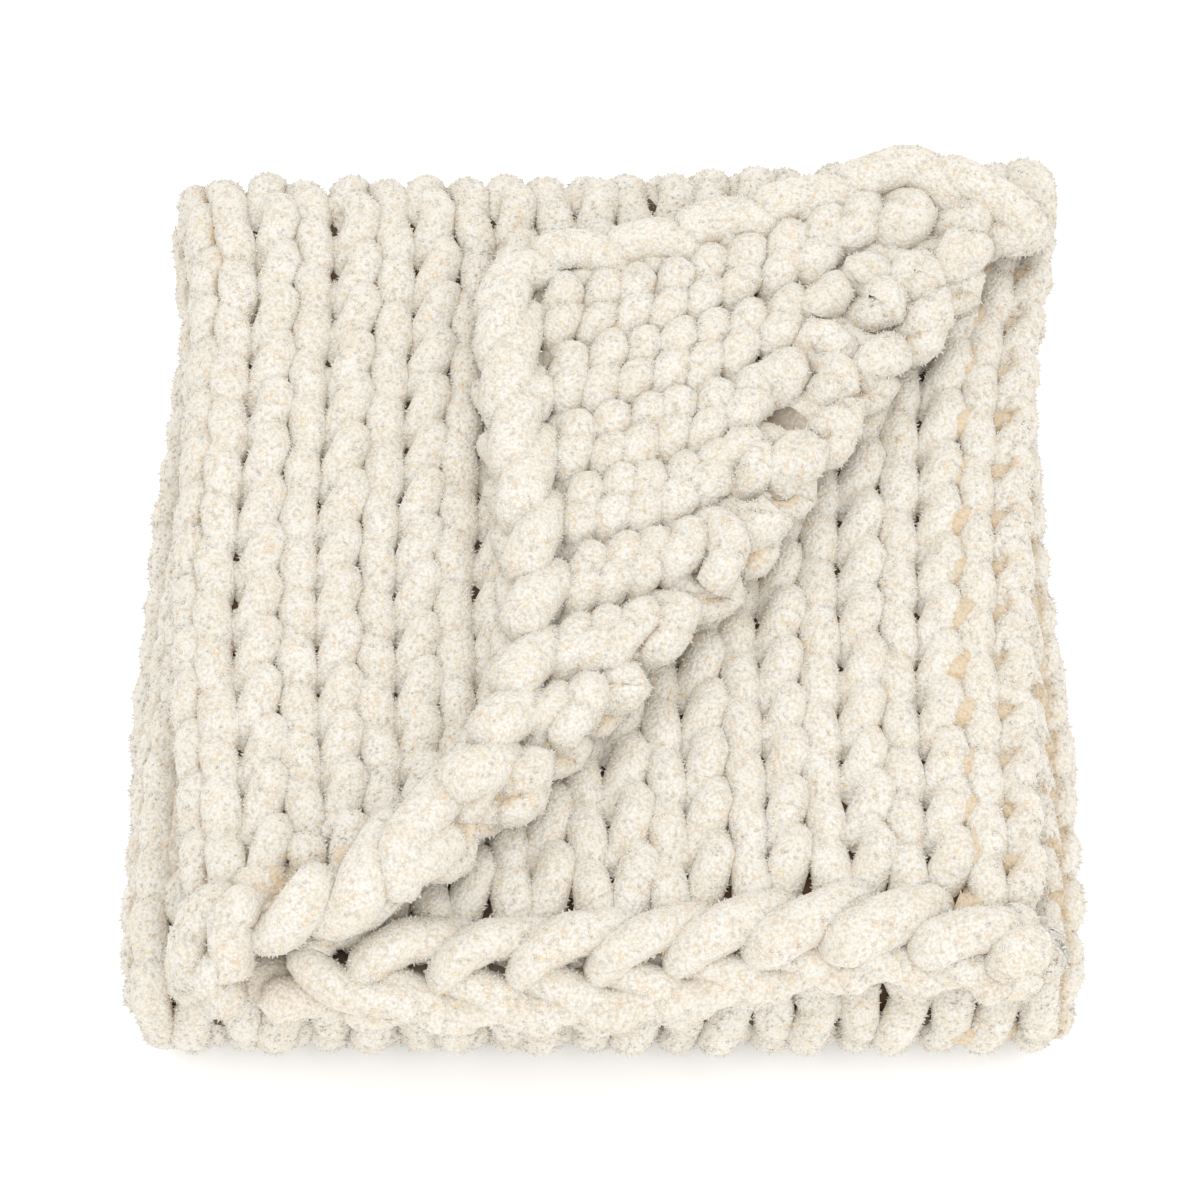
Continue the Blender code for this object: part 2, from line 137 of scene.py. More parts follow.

# Lift of the upper leg of a link of the bound off edge along its length: share, lift
LINK_RISE = [
    (0.00, -0.0055), (0.10, 0.0025), (0.22, 0.0068), (0.45, 0.0064), (0.72, -0.0005), (1.00, -0.0110),
]
LINK_ROUND = (0.0134, 0.0112)   # half axes of the yarn in the upper legs
LOW_ROUND = (0.0118, 0.0106)    # in the lower legs
CORNER_ROUND = (0.0118, 0.0104)            # in the wide loop at the inner corner
ROPE_ROUND = (0.0124, 0.0102)   # in the strands of the side edge
CAST_ON_ROUND = (0.0118, 0.0084)           # in the strands of the cast on edge
LINK_LONG, LOW_LONG = 0.074, 0.068         # length of the upper and the lower legs along the hem
ROPE_LONG, CAST_ON_LONG = 0.084, 0.058     # length of a strand of the side edge and the cast on edge
HEM_IN = 0.03                   # the side that the hem shows is read this far in from its edge
ROLL_FROM, ROLL_OVER = 0.27, 0.05          # the hem goes round the roll from this place, eased over this

# Lift of a strand of the side edge along its length: share, lift
ROPE_RISE = [(0.00, 0.0000), (0.15, 0.0062), (0.50, 0.0060), (0.80, 0.0014), (1.00, -0.0080)]

# Lift of a strand of the cast on edge along its length: share, lift
CAST_ON_RISE = [(0.00, -0.003), (0.25, 0.003), (0.75, 0.001), (1.00, -0.005)]

# The wide loop at the inner corner of the upper hem: share, distance from the cloth's end, v, lift
CORNER_LOOP = [
    (0.00, 0.074, 0.003, -0.004), (0.22, 0.050, 0.001, 0.001), (0.40, 0.026, 0.004, 0.003),
    (0.52, 0.013, 0.014, 0.004), (0.64, 0.021, 0.027, 0.004), (0.82, 0.042, 0.033, 0.002),
    (1.00, 0.066, 0.035, -0.004),
]

MAP_GAP, MAP_BAND = 0.016, 0.064           # on the map: between two strands, and the width of a strand

# The pile. A tuft has four triangles, so a piece stays under 200,000
MOST_TUFTS, TUFTS_A_PIECE = 160000, 47000
TUFT_DENSITY, QUICK_DENSITY = 230000.0, 60000.0     # tufts drawn for each square metre of yarn
TUFT_RADIUS = (0.00085, 0.00135)           # least and most, from the middle of a tuft to a foot
TUFT_LONG = (0.0012, 0.0026)    # least and most, from the skin to the tip
TUFT_LEAN = 0.42                # spread of the chance lean, as a slope
TUFT_SUNK = 0.0006              # the feet stand this far under the skin
BARE_BELOW = -0.80              # no pile below this sine of the angle round a strand, except on the edges
NEAR_EDGE, NEAR_CAST_ON = 0.030, 0.020     # within this length of an edge the whole strand has pile
OFF_CORE, OFF_FLOOR = 0.0012, 0.0015       # pile stands clear of the strands' cores and of the floor
THIN_END = 0.007                # a strand thinner than this has no core

# The body of the cloth under the loops
FULL_CELLS = (0.0105, 0.0095)   # of its grid across and along, where loops show
SPARE_CELLS = (0.05, 0.04)      # along, in the middle section and the lowest one
SHOW_FADE = 0.04                # it sinks away under the loops over this length
KNIT_SUNK = 0.0040              # the knit face lies this far under the cloth's middle there
PURL_SUNK, PURL_SUNK_MORE = 0.0015, 0.0030          # the purl face over it, and more past the roll
CLEAR_FROM, CLEAR_EASE = 0.042, 0.040               # where the turned corner is past its roll
THINNEST = 0.0025               # the two faces stay this far apart

# The camera aims at this height, from this angle above the floor and this far away. The lens is in mm
CAMERA_AIM, CAMERA_ANGLE, CAMERA_AWAY, CAMERA_LENS = 0.140, 60, 2.0, 115.8

rng = np.random.default_rng(20)


def column(table, place):
    """One column of a short table as an array."""
    return np.array([row[place] for row in table])


def eased(share):
    """0 to 1, slow at both ends: 3t^2 - 2t^3."""
    t = np.clip(share, 0.0, 1.0)
    return t * t * (3.0 - 2.0 * t)


def smooth_table(at, table, place):
    """A column of a table between its rows, on cubic pieces that share their slopes."""
    x, y = column(table, 0), column(table, place)
    slope = np.gradient(y, x)
    i = np.clip(np.searchsorted(x, at) - 1, 0, len(x) - 2)
    step = x[i + 1] - x[i]
    t = np.clip((at - x[i]) / step, 0.0, 1.0)
    a = (1 + 2 * t) * (1 - t) ** 2 * y[i] + t * (1 - t) ** 2 * step * slope[i]
    return a + t * t * (3 - 2 * t) * y[i + 1] + t * t * (t - 1) * step * slope[i + 1]


def across(u, lift):
    """Fold in three across the width: straight, half circle, straight, half circle, straight."""
    left_turn = np.pi / 2 + (u - U_LEFT) / PITCH
    right_turn = -np.pi / 2 + (u - U_RIGHT) / (PITCH / 2)
    stretch = [u < U_LEFT, u < U_LOWEST, u < U_RIGHT, u < U_MIDDLE]
    x = np.select(stretch, [
        TOP_EDGE_X - u,
        LEFT_TURN_X + (PITCH + lift) * np.cos(left_turn),
        LEFT_TURN_X + u - U_LOWEST,
        RIGHT_TURN_X + (PITCH / 2 + lift) * np.cos(right_turn),
    ], RIGHT_TURN_X - (u - U_MIDDLE))
    height = np.select(stretch, [
        PITCH + lift,
        (PITCH + lift) * np.sin(left_turn),
        -PITCH - lift,
        -PITCH / 2 + (PITCH / 2 + lift) * np.sin(right_turn),
    ], lift)
    return x, height


def along(v, height):
    """Fold in three along the length, on half circles whose radius grows with the height."""
    back_turn = np.pi / 2 - (v - V_BACK) / (1.5 * PITCH)
    front_turn = np.pi / 2 + (v - V_FRONT) / (1.5 * PITCH)
    back_axis = (TOP_LEVEL + MIDDLE_LEVEL) / 2 * PITCH
    front_axis = (MIDDLE_LEVEL + LOWER_LEVEL) / 2 * PITCH
    outer, inner = 1.5 * PITCH + height, 1.5 * PITCH - height
    stretch = [v < V_BACK, v < V_SECOND, v < V_FRONT, v < V_LOWER]
    y = np.select(stretch, [
        FRONT_HEM_Y + v,
        BACK_TURN_Y + outer * np.cos(back_turn),
        BACK_TURN_Y - (v - V_SECOND),
        FRONT_TURN_Y + inner * np.cos(front_turn),
    ], FRONT_TURN_Y + v - V_LOWER)
    z = np.select(stretch, [
        TOP_LEVEL * PITCH + height,
        back_axis + outer * np.sin(back_turn),
        MIDDLE_LEVEL * PITCH - height,
        front_axis + inner * np.sin(front_turn),
    ], LOWER_LEVEL * PITCH + height)
    return y, z


def drawn_back(u, v):
    """Where v lies along the fold: the top layer is drawn back, more towards its side edge."""
    share = np.clip(1.0 - u / U_LEFT, 0.0, 1.0) ** SET_BACK_CURVE
    return v + SET_BACK * share * (1.0 - eased((v - V_SECOND) / (V_FRONT - V_SECOND)))


def folded(u, v, lift):
    """Both folds one after the other, widened by the side table and set back by the hem table."""
    x, height = across(u, lift)
    at = drawn_back(u, v)
    y, z = along(at, height)
    reach = THICK / 2 + PITCH
    share = at / V_END
    left, right = smooth_table(share, SIDES, 1), smooth_table(share, SIDES, 2)
    nominal_left, nominal_right = LEFT_TURN_X - reach, RIGHT_TURN_X + reach - PITCH / 2
    x = left + (x - nominal_left) * (right - left) / (nominal_right - nominal_left)
    level = height / PITCH
    upper, lower = np.clip(level, 0.0, 1.0), np.clip(-level, 0.0, 1.0)
    back = (upper * smooth_table(x, UPPER_HEMS, 1) + lower * smooth_table(x, UPPER_HEMS, 3)
            + (1.0 - upper - lower) * smooth_table(x, UPPER_HEMS, 2))
    y = y + back * (1.0 - eased(v / (HEM_PULL * V_BACK)))
    near_back = np.where(at < V_SECOND, eased(2.0 * at / V_BACK - 1.0),
                         1.0 - eased(2.0 * (at - V_SECOND) / (V_FRONT - V_SECOND)))
    y = y + near_back * smooth_table(x, BACK_REACH, 1)
    z = z - HEM_DROOP * np.clip(1.0 - v / HEM, 0.0, 1.0) ** 2
    return x, y, z


def carried(u, v, lift):
    """Folds the cloth and turns its corner: up to the turn line, round a slanting roll, then straight.

    Past the roll a point goes by its share of the way to the place that CORNER_HEM gives the hem.
    """
    x, y, z = folded(u, v, lift)
    foot_x, foot_y, foot_z = folded(u, v, np.zeros_like(u))
    hem_x, hem_y, hem_z = folded(u, np.zeros_like(v), np.zeros_like(u))
    line = smooth_table(foot_x, TURN_LINE, 1)
    slope = (smooth_table(foot_x + SLOPE_STEP, TURN_LINE, 1)
             - smooth_table(foot_x - SLOPE_STEP, TURN_LINE, 1)) / (2 * SLOPE_STEP)
    angle = np.arctan(slope)
    run = line - foot_y
    whole = np.maximum(line - hem_y, 1e-6)
    rolled = np.pi * TURN_RADIUS / np.cos(angle)
    turn = np.minimum(run, rolled) * np.cos(angle) / TURN_RADIUS
    slide = np.minimum(run, rolled) * np.sin(angle)
    out = (TURN_RADIUS - lift) * np.sin(turn)
    roll_x = foot_x - slide * np.cos(angle) + out * np.sin(angle)
    roll_y = line - slide * np.sin(angle) - out * np.cos(angle)
    top = (TOP_LEVEL + 1) * PITCH
    roll_z = top + TURN_RADIUS - (TURN_RADIUS - lift) * np.cos(turn)
    past = run - rolled
    share = np.clip(past / np.maximum(whole - rolled, 1e-3), 0.0, 1.0)
    from_left = foot_x - (LEFT_TURN_X - PITCH)
    goal_x = smooth_table(from_left, CORNER_HEM, 1)
    goal_y = smooth_table(from_left, CORNER_HEM, 2)
    towards_edge = eased((foot_x - BOW_START_X) / (TOP_EDGE_X - BOW_START_X))
    bow = smooth_table(share, CORNER_BOW, 1) * towards_edge
    settled = eased(past / SETTLE) * (2 * TURN_RADIUS - PITCH - LAY_GAP)
    flat_x = roll_x + share * (goal_x - roll_x) - BOW_LEFT * bow
    flat_y = roll_y + share * (goal_y - roll_y) + bow
    over = past > 0
    new_x, new_y = np.where(over, flat_x, roll_x), np.where(over, flat_y, roll_y)
    new_z = np.where(over, roll_z - settled, roll_z)
    corner = (u < U_LEFT) & (drawn_back(u, v) < V_BACK + TURN_ARC / 4) & (run > 0)
    places = np.where(corner, [new_x, new_y, new_z], [x, y, z])
    return np.moveaxis(places, 0, -1) - SHIFT


def past_turn_line(u, v):
    """How far a point of the upper section lies in front of the corner's turn line, seen from above."""
    x, y, z = folded(u, v, np.zeros_like(u))
    return smooth_table(x, TURN_LINE, 1) - y


def purl_shows(u, v):
    """1 where the top layer is turned and shows its purl side, 0 elsewhere, eased under the corner."""
    turned = eased((past_turn_line(u, v) + PURL_BEFORE) / PURL_EASE)
    return np.where((u < U_LEFT) & (drawn_back(u, v) < V_BACK), turned, 0.0)


def wander(turns, size, waves=(0.31, 0.73, 1.37)):
    """A slow uneven drift along the yarn: a few sine waves of chance phase, within the given size."""
    phases = rng.uniform(0, 2 * np.pi, len(waves))
    return size * sum(np.sin(w * turns + p) for w, p in zip(waves, phases)) / len(waves)


def stitch_spacing(v):
    """Places u along a row and the number of stitches from the side edge to each of them.

    On the turned corner the number grows with the length of the folded row. The stitches that are
    more there than in the flat cloth are a whole number, so that the columns meet further on.
    """
    u = np.linspace(0, U_END, SPACING_POINTS)
    turned = (past_turn_line(u, np.full_like(u, v)) > 0) & (u < U_LEFT)
    last = int(turned.sum())
    if last < 4 or v > V_BACK:
        return u, u / STITCH
    line = carried(u[:last], np.full(last, v), np.zeros(last))
    length = np.concatenate([[0.0], np.cumsum(np.linalg.norm(line[1:] - line[:-1], axis=1))])
    flat = u[last - 1] / STITCH
    more = np.clip(np.round(length[-1] / TURNED_STITCH - flat), 0, MOST_MORE)
    turns = u / STITCH + more
    turns[:last] = (flat + more) * length / length[-1]
    return u, turns


def row_of_stitches(row, start, end):
    """Centre line of the yarn in one row, from u = start to u = end.

    With phase p running 0 to 2 pi over a stitch, the yarn goes across by p, opens and closes by
    sin 2p, goes up and down by cos p, and through the cloth by -cos 2p, with the loop's foot raised
    by cos p and one end of each leg raised by sin 2p. The sizes ease from KNIT to PURL where the
    cloth is turned. The thickness there also goes by cos 2p and cos p, and grows in drawn out cloth.
    """
    middle = HEM + (row + 0.5) * ROW - (FIRST_ROW_LOWER if row == 0 else 0.0)
    spaced, counted = stitch_spacing(middle)
    first, last = np.interp([start, end], spaced, counted)
    turns = np.arange(first, last, ROUND_STEP)[::-1]
    p = -2 * np.pi * turns
    flat = np.interp(turns, counted, spaced)
    tight = np.gradient(flat, turns) / STITCH
    turned = purl_shows(flat, middle + LEG_REACH * np.cos(p))
    level, spread, lean, depth, rise, twist = (
        k + (w - k) * turned for k, w in zip(KNIT.values(), PURL.values()))
    u = flat - tight * spread * np.sin(2 * p) - lean * np.cos(p) + wander(p, 0.0020)
    reach = LEG_REACH + (PURL_REACH - LEG_REACH) * turned
    v = (middle + reach * np.cos(p) * (1 + wander(p, 0.10)) + wander(p, 0.0022)
         + PURL_TILT * turned * np.sin(2 * p))
    lift = (level - depth * np.cos(2 * p) + rise * np.cos(p) + twist * np.sin(2 * p)
            + wander(p, 0.0010, (0.9, 1.9, 2.3)))
    full = 1 + wander(p, 0.05, (0.8, 1.7, 3.1)) + turned * (
        PURL_SWELL * np.cos(2 * p) + PURL_HEAVY * np.cos(p) - PURL_THINNER
        + LOOSE_FULLER * np.clip(LOOSE - tight, 0, 0.5))
    return u, v, lift, YARN_WIDE * full, (YARN_DEEP + PURL_DEEPER * turned) * full


def fabric_rows():
    """The rows of stitches, each along the stretches of the fold where it shows."""
    strands = []
    rows = int((V_END - HEM) / ROW)
    for row in range(rows):
        v = HEM + (row + 0.5) * ROW
        stretches = []
        if v < V_SECOND + BEHIND:
            stretches.append((ROPE_WIDE, U_LOWEST + UNDER_FOLD))
        else:
            stretches.append((ROPE_WIDE, EDGE_STRIP))
            stretches.append((U_LEFT - UNDER_FOLD, U_LOWEST + UNDER_FOLD))
        line_x = np.interp(FRONT_HEM_Y + v, column(TURN_LINE, 1), column(TURN_LINE, 0))
        seen = U_MIDDLE + RIGHT_TURN_X - line_x + UNDER_CORNER
        if v < V_BACK:
            stretches.append((U_RIGHT - UNDER_FOLD, min(seen, U_END - END_INSET)))
        elif V_FRONT - FRONT_STRIP < v < V_LOWER + FRONT_STRIP:
            stretches = [(ROPE_WIDE, EDGE_STRIP), (U_LEFT - UNDER_FOLD, U_MIDDLE + UNDER_FOLD)]
        elif v > V_END - FRONT_STRIP:
            stretches = [(ROPE_WIDE, U_END - END_INSET)]
        else:
            stretches.append((U_RIGHT - UNDER_FOLD, U_MIDDLE + UNDER_FOLD))
        strands += [row_of_stitches(row, start, end) for start, end in stretches]
    return strands


def rounded_ends(count, deep=2.2):
    """Thickness along a short strand: full in the middle, closing at both ends as a root of the sine."""
    t = np.linspace(0, 1, count)
    return np.clip(deep * np.sin(np.pi * t), 0, 1) ** 0.5


def hem_links():
    """The braid of the bound off edge: each link has an upper and a lower leg, laid along the hem.

    Both legs run straight along the hem. The upper one climbs from the edge into the cloth, the
    lower one goes down round the edge, and each starts over the end of the leg before it. Where the
    edge rolls over in front of the turned corner, both lie round the roll.
    """
    strands = []
    t = np.linspace(0, 1, 14)
    rise = np.interp(t, column(LINK_RISE, 0), column(LINK_RISE, 1))
    spaced, counted = stitch_spacing(HEM)
    for k in range(int(np.interp(U_END - 0.060, spaced, counted) + 0.5)):
        middle = float(np.interp(k + 0.5, counted, spaced)) + rng.normal(0, 0.0012)
        # On the corner the legs are shorter, and round the roll the upper one is longer
        on_corner = float(purl_shows(np.array(middle), np.array(HEM_IN)))
        rolled = float(eased((middle - ROLL_FROM) / ROLL_OVER)) * (middle < U_LEFT - 0.005)
        u = middle - (t - 0.5) * (LINK_LONG - 0.024 * on_corner + 0.018 * rolled)
        u_lower = middle - (t - 0.5) * (LOW_LONG - 0.014 * on_corner)
        lean = 0.036 + 0.008 * on_corner + rng.normal(0, 0.0015)
        v_upper = (0.0030 + lean * t) * (1 - rolled) + (0.0230 - 0.0240 * t) * rolled
        v_lower = (0.0150 - 0.0195 * t) * (1 - rolled) + (0.0140 + 0.0200 * t) * rolled
        fall = (0.0005 - 0.0115 * t) * (1 - rolled) + rise * rolled
        full = rounded_ends(len(t)) * (1 + rng.normal(0, 0.03))
        for at, v, lift, (wide, deep) in ((u, v_upper, rise + 0.0014, LINK_ROUND),
                                          (u_lower, v_lower, fall, LOW_ROUND)):
            turned = purl_shows(np.clip(at, 0, U_END), np.full_like(at, HEM_IN))
            inside = (at > 0.002) & (at < U_END - 0.002)
            leg = (at, v, (1 - 2 * turned) * lift, wide * full, deep * full)
            if inside.sum() > 3:
                strands.append(tuple(a[inside] for a in leg))
    strands.append(corner_loop())
    return strands


def corner_loop():
    """The wide loop that ends the bound off edge at the inner corner, open to the right.

    Its points are given by their distance from the cloth's end, and by v and lift, on a smooth curve.
    """
    t = np.linspace(0, 1, 26)
    u = U_END - smooth_table(t, CORNER_LOOP, 1)
    v = smooth_table(t, CORNER_LOOP, 2)
    lift = smooth_table(t, CORNER_LOOP, 3)
    full = rounded_ends(len(t), 4.0)
    return u, v, lift, CORNER_ROUND[0] * full, CORNER_ROUND[1] * full


def side_rope():
    """The chain of long smooth strands on the side edge, one for each two rows.

    A strand bows out over the edge as half a sine wave. Its end turns in with the cube of the share
    along it, and dips into the cloth under the start of the next one.
    """
    strands = []
    wide, deep = ROPE_ROUND
    t = np.linspace(0, 1, 15)
    rise = np.interp(t, column(ROPE_RISE, 0), column(ROPE_RISE, 1))
    for k in range(int(V_END / (2 * ROW))):
        middle = (k + 0.60) * 2 * ROW + rng.normal(0, 0.0015)
        v = middle + (t - 0.5) * ROPE_LONG
        u = 0.0130 - 0.0020 * np.sin(np.pi * np.clip(t * 1.15, 0, 1)) + 0.0090 * t ** 3
        turned = purl_shows(u, v)
        side = np.where(drawn_back(u, v) < V_BACK, 1 - 2 * turned, 0.3)
        full = rounded_ends(len(t)) * (1 + rng.normal(0, 0.03))
        inside = (v > 0.004) & (v < V_END - 0.002)
        strands.append(tuple(a[inside] for a in (u, v, side * rise, wide * full, deep * full)))
    return strands


def lower_edge():
    """The cast on edge at the lower end of the cloth: one short strand for each stitch.

    It runs along the edge with a slight slant, and bows inwards as half a sine wave.
    """
    strands = []
    wide, deep = CAST_ON_ROUND
    t = np.linspace(0, 1, 9)
    for k in range(int(U_END / STITCH)):
        u = (k + 0.5) * STITCH + (t - 0.5) * CAST_ON_LONG
        v = V_END - 0.0080 - 0.0040 * np.sin(np.pi * t) - 0.004 * t
        lift = np.interp(t, column(CAST_ON_RISE, 0), column(CAST_ON_RISE, 1))
        full = rounded_ends(len(t))
        inside = (u > 0.004) & (u < U_END - 0.004)
        strands.append(tuple(a[inside] for a in (u, v, lift, wide * full, deep * full)))
    return strands


def rounds(strands, most_shade=1.0):
    """Rounds of points about the centre lines of strands, as one set of arrays.

    The centre line is carried to its folded place first. Its direction is the difference from one
    point to the next. One axis of a round is square to that direction and to the cloth's lift, and
    the other is square to both. The share "deep" is the strength of a painted shade: it is 0 on the
    showing upper part of a strand, and eases to the given most towards the underside, by the sine of the
    angle round the strand.
    """
    strands = [s for s in strands if len(s[0]) > 3]
    number = np.repeat(np.arange(len(strands)), [len(s[0]) for s in strands])
    u, v, lift, wide, deep = (np.concatenate([s[i] for s in strands]) for i in range(5))
    centres = carried(u, v, lift)
    outward = carried(u, v, lift + 0.0010) - carried(u, v, lift - 0.0010)
    same = number[1:] == number[:-1]
    ahead = np.zeros_like(centres)
    step = (centres[1:] - centres[:-1]) * same[:, None]
    ahead[:-1] += step
    ahead[1:] += step
    ahead /= np.linalg.norm(ahead, axis=1)[:, None]
    flat = np.cross(outward, ahead)
    flat /= np.maximum(np.linalg.norm(flat, axis=1), 1e-9)[:, None]
    up = np.cross(ahead, flat)
    angle = np.arange(SECTORS) * 2 * np.pi / SECTORS
    uneven = 1 + ROUND_UNEVEN * np.sin(2 * angle[None, :] + np.arange(len(u))[:, None] * 0.55)
    places = (centres[:, None, :]
              + (wide[:, None] * np.cos(angle) * uneven)[:, :, None] * flat[:, None, :]
              + (deep[:, None] * np.sin(angle) * uneven)[:, :, None] * up[:, None, :])
    places[..., 2] = np.maximum(places[..., 2], 0.0)
    # Painted shade: each strand is darker and warmer towards its underside, where shade falls
    crown = (1 - 2 * purl_shows(np.clip(u, 0, U_END), v))[:, None] * np.sin(angle)[None, :]
    painted_shade = most_shade * (1 - eased((crown + SHADE_BELOW) / SHADE_EASE))
    return {"deep": painted_shade, "number": number, "line": np.stack([u, v, lift], axis=1), "places": places,
            "centres": centres, "angle": angle, "same": same, "wide": wide}


def new_piece(name, points, corners, starts, uv=None, shares=None):
    """A mesh from whole arrays: points, the corners of all faces, and where each face starts."""
    mesh = bpy.data.meshes.new(name)
    mesh.vertices.add(len(points))
    mesh.vertices.foreach_set("co", np.ascontiguousarray(points, dtype=np.float32).ravel())
    mesh.loops.add(len(corners))
    mesh.loops.foreach_set("vertex_index", corners.astype(np.int32))
    mesh.polygons.add(len(starts))
    mesh.polygons.foreach_set("loop_start", starts.astype(np.int32))
    mesh.update(calc_edges=True)
    mesh.validate()
    mesh.polygons.foreach_set("use_smooth", np.ones(len(mesh.polygons), dtype=bool))
    if uv is not None:
        layer = mesh.uv_layers.new(name="OFBake")
        layer.data.foreach_set("uv", uv.astype(np.float32).ravel())
    for label, values in (shares or {}).items():
        attribute = mesh.attributes.new(label, "FLOAT", "POINT")
        attribute.data.foreach_set("value", values.astype(np.float32))
    piece = bpy.data.objects.new(name, mesh)
    bpy.context.collection.objects.link(piece)
    return piece


def yarn_piece(name, laid):
    """The skin of all strands in one piece: a band of four-cornered faces between each two rounds.

    Each strand is closed by a fan of faces to a point past its end. The UV map lays the
    strands end to end as one long band, wrapped into columns side by side.
    """
    places, number, same = laid["places"], laid["number"], laid["same"]
    count = len(number)
    first = np.flatnonzero(np.concatenate([[True], ~same]))
    last = np.flatnonzero(np.concatenate([~same, [True]]))
    centres = laid["centres"]
    tips_first = centres[first] + (centres[first] - centres[first + 1]) * 0.45
    tips_last = centres[last] + (centres[last] - centres[last - 1]) * 0.45
    points = np.concatenate([places.reshape(-1, 3), tips_first, tips_last])
    s = np.arange(SECTORS)
    ahead = (s + 1) % SECTORS
    i = np.flatnonzero(same)
    quads = np.stack([i[:, None] * SECTORS + s, i[:, None] * SECTORS + ahead,
                      (i[:, None] + 1) * SECTORS + ahead, (i[:, None] + 1) * SECTORS + s], axis=2)
    quads = quads.reshape(-1, 4)
    tip_a = count * SECTORS + np.arange(len(first))
    tip_b = tip_a[-1] + 1 + np.arange(len(last))
    fan_a = np.stack([first[:, None] * SECTORS + ahead, first[:, None] * SECTORS + s,
                      np.broadcast_to(tip_a[:, None], (len(first), SECTORS))], axis=2).reshape(-1, 3)
    fan_b = np.stack([last[:, None] * SECTORS + s, last[:, None] * SECTORS + ahead,
                      np.broadcast_to(tip_b[:, None], (len(last), SECTORS))], axis=2).reshape(-1, 3)
    corners = np.concatenate([quads.ravel(), fan_a.ravel(), fan_b.ravel()])
    starts = np.concatenate([np.arange(len(quads)) * 4,
                             len(quads) * 4 + np.arange(len(fan_a) + len(fan_b)) * 3])

    length = np.linalg.norm(centres[1:] - centres[:-1], axis=1)
    length = np.where(same, length, MAP_GAP)
    at = np.concatenate([[MAP_GAP / 2], MAP_GAP / 2 + np.cumsum(length)])
    side = np.sqrt(at[-1] * MAP_BAND) + MAP_BAND
    strip = np.floor(at / side)
    columns = strip.max() + 1
    left, low = strip / columns, (at - strip * side) / (side + 0.03) + 0.01
    width = 0.94 / columns

    def mapped(ring, sector, further):
        """Map place of a point: its column and sector across, its length along the strand upwards."""
        return np.stack([left[ring] + 0.03 / columns + width * sector / SECTORS,
                         low[ring] + further / (side + 0.03)], axis=-1)

    hop = length[i][:, None]
    ring = np.broadcast_to(i[:, None], (len(i), SECTORS))
    wide = np.broadcast_to(s, (len(i), SECTORS))
    zero = np.zeros_like(ring, dtype=float)
    uv_quads = np.stack([mapped(ring, wide, zero), mapped(ring, wide + 1, zero),
                         mapped(ring, wide + 1, zero + hop), mapped(ring, wide, zero + hop)], axis=2)
    ring_a = np.broadcast_to(first[:, None], (len(first), SECTORS))
    ring_b = np.broadcast_to(last[:, None], (len(last), SECTORS))
    wide_a = np.broadcast_to(s, ring_a.shape)
    zero_a = np.zeros_like(ring_a, dtype=float)
    uv_a = np.stack([mapped(ring_a, wide_a + 1, zero_a), mapped(ring_a, wide_a, zero_a),
                     mapped(ring_a, wide_a + 0.5, zero_a - 0.004)], axis=2)
    uv_b = np.stack([mapped(ring_b, wide_a, zero_a), mapped(ring_b, wide_a + 1, zero_a),
                     mapped(ring_b, wide_a + 0.5, zero_a + 0.004)], axis=2)
    uv = np.concatenate([uv_quads.reshape(-1, 2), uv_a.reshape(-1, 2), uv_b.reshape(-1, 2)])
    # Painted shade: each point's share from the rounds, and half of the full shade at the end points
    shares = {"deep": np.concatenate([laid["deep"].ravel(), np.ones(len(first) + len(last)) * 0.5])}
    return new_piece(name, points, corners, starts, uv, shares)


def filled_cells(laid_sets, cell=0.0025, core=0.0066):
    """Which cells of a cubic grid lie inside the core of some strand, by stamping balls along it."""
    centres = []
    for laid in laid_sets:
        c, same = laid["centres"], laid["same"]
        a, b = c[:-1][same], c[1:][same]
        solid = laid["wide"][:-1][same] > THIN_END
        centres += [(a + (b - a) * f)[solid] for f in (0.0, 0.33, 0.67)]
    centres = np.concatenate(centres)
    low = centres.min(axis=0) - 0.03
    size = np.ceil((centres.max(axis=0) + 0.03 - low) / cell).astype(int)
    reach = int(np.ceil(core / cell))
    g = np.mgrid[-reach:reach + 1, -reach:reach + 1, -reach:reach + 1].reshape(3, -1).T
    ball = g[np.linalg.norm(g * cell, axis=1) <= core]
    cells = np.zeros(size, dtype=bool)
    at = np.round((centres - low) / cell).astype(int)
    for offset in ball:
        w = at + offset
        cells[w[:, 0], w[:, 1], w[:, 2]] = True
    return {"cells": cells, "low": low, "cell": cell}


